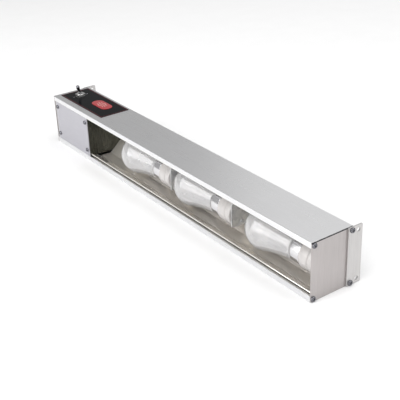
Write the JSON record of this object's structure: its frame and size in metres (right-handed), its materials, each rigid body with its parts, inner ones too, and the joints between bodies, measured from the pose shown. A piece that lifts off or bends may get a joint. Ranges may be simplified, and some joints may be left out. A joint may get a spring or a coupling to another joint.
{
  "type": "strip display warmer",
  "caption": "Long extruded channel with screw-in lamps in porcelain sockets before a polished reflector, a toggle switch box at one end and hanging brackets.",
  "frame": {"origin": "centre of the overall bounding box in X and Y, on the bottom face of the channel", "axes": "+X along the channel away from the switch box, -Y out of the open lamp front, +Z the side that carries the switch and label"},
  "size_m": [0.6182, 0.0786, 0.0964],
  "materials": {
    "housing": "satin extruded aluminium",
    "reflector": "polished specular sheet",
    "end_plate": "fine vertical brush",
    "bracket": "fine vertical brush",
    "screw": "bright plated",
    "cover": "satin anodised",
    "sheet_metal": "plain mill",
    "partition": "heat-blackened",
    "label": "gloss overlay",
    "badge": "gloss",
    "data_plate": "matt foil",
    "phenolic": "moulded",
    "switch_metal": "polished nickel",
    "terminal": "tinned",
    "glass": "soft white, glossy",
    "lamp_base": "bright, rolled thread",
    "insulator": "vitrified",
    "solder": "dull solder",
    "filament": "drawn wire and glass stem",
    "porcelain": "glazed",
    "shell": "bright, rolled thread",
    "rubber": "moulded",
    "lead": "braided sleeve",
    "wire_black": "insulation",
    "wire_white": "insulation",
    "block": "moulded",
    "ground": "green plated"
  },
  "bodies": {
    "root": {"housing": "housing", "reflector": "reflector", "end_plate_left": "end_plate", "end_plate_right": "end_plate", "mounting_bracket_left": "bracket", "mounting_bracket_right": "bracket", "end_screws": "screw", "control_cover": "cover", "cover_screws": "screw", "cover_flange": "sheet_metal", "partition": "partition", "control_label": "label", "badge": "badge", "data_plate": "data_plate", "switch_body": "phenolic", "switch_bushing": "switch_metal", "switch_washer": "switch_metal", "switch_nut": "switch_metal", "switch_terminals": "terminal", "socket_body_a": "porcelain", "socket_body_b": "porcelain", "socket_body_c": "porcelain", "socket_shell_a": "shell", "socket_shell_b": "shell", "socket_shell_c": "shell", "socket_bracket_a": "sheet_metal", "socket_bracket_b": "sheet_metal", "socket_bracket_c": "sheet_metal", "socket_screws": "screw", "bracket_screws": "screw", "reflector_rivets": "sheet_metal", "wire_grommets": "rubber", "socket_leads": "lead", "wire_splices": "lead", "trunk_wire_line": "wire_black", "trunk_wire_neutral": "wire_white", "terminal_block": "block", "terminal_screws": "terminal", "ground_screw": "ground"},
    "toggle": {"toggle_lever": "switch_metal"},
    "bulb_a": {"bulb_glass_a": "glass", "bulb_base_a": "lamp_base", "bulb_insulator_a": "insulator", "bulb_contact_a": "solder", "filament_a": "filament"},
    "bulb_b": {"bulb_glass_b": "glass", "bulb_base_b": "lamp_base", "bulb_insulator_b": "insulator", "bulb_contact_b": "solder", "filament_b": "filament"},
    "bulb_c": {"bulb_glass_c": "glass", "bulb_base_c": "lamp_base", "bulb_insulator_c": "insulator", "bulb_contact_c": "solder", "filament_c": "filament"}
  },
  "joints": [
    {"name": "toggle_tilt", "type": "hinge", "parent": "root", "child": "toggle", "pos_m": [-0.2771, -0.00365, 0.08], "axis": [1, 0, 0], "range_deg": [-28, 0]},
    {"name": "bulb_a_turn", "type": "hinge", "parent": "root", "child": "bulb_a", "pos_m": [-0.0256, -0.00685, 0.039], "axis": [-1, 0, 0], "range_deg": [0, 360]},
    {"name": "bulb_b_turn", "type": "hinge", "parent": "root", "child": "bulb_b", "pos_m": [0.1104, -0.00685, 0.039], "axis": [-1, 0, 0], "range_deg": [0, 360]},
    {"name": "bulb_c_turn", "type": "hinge", "parent": "root", "child": "bulb_c", "pos_m": [0.2644, -0.00685, 0.039], "axis": [-1, 0, 0], "range_deg": [0, 360]}
  ]
}
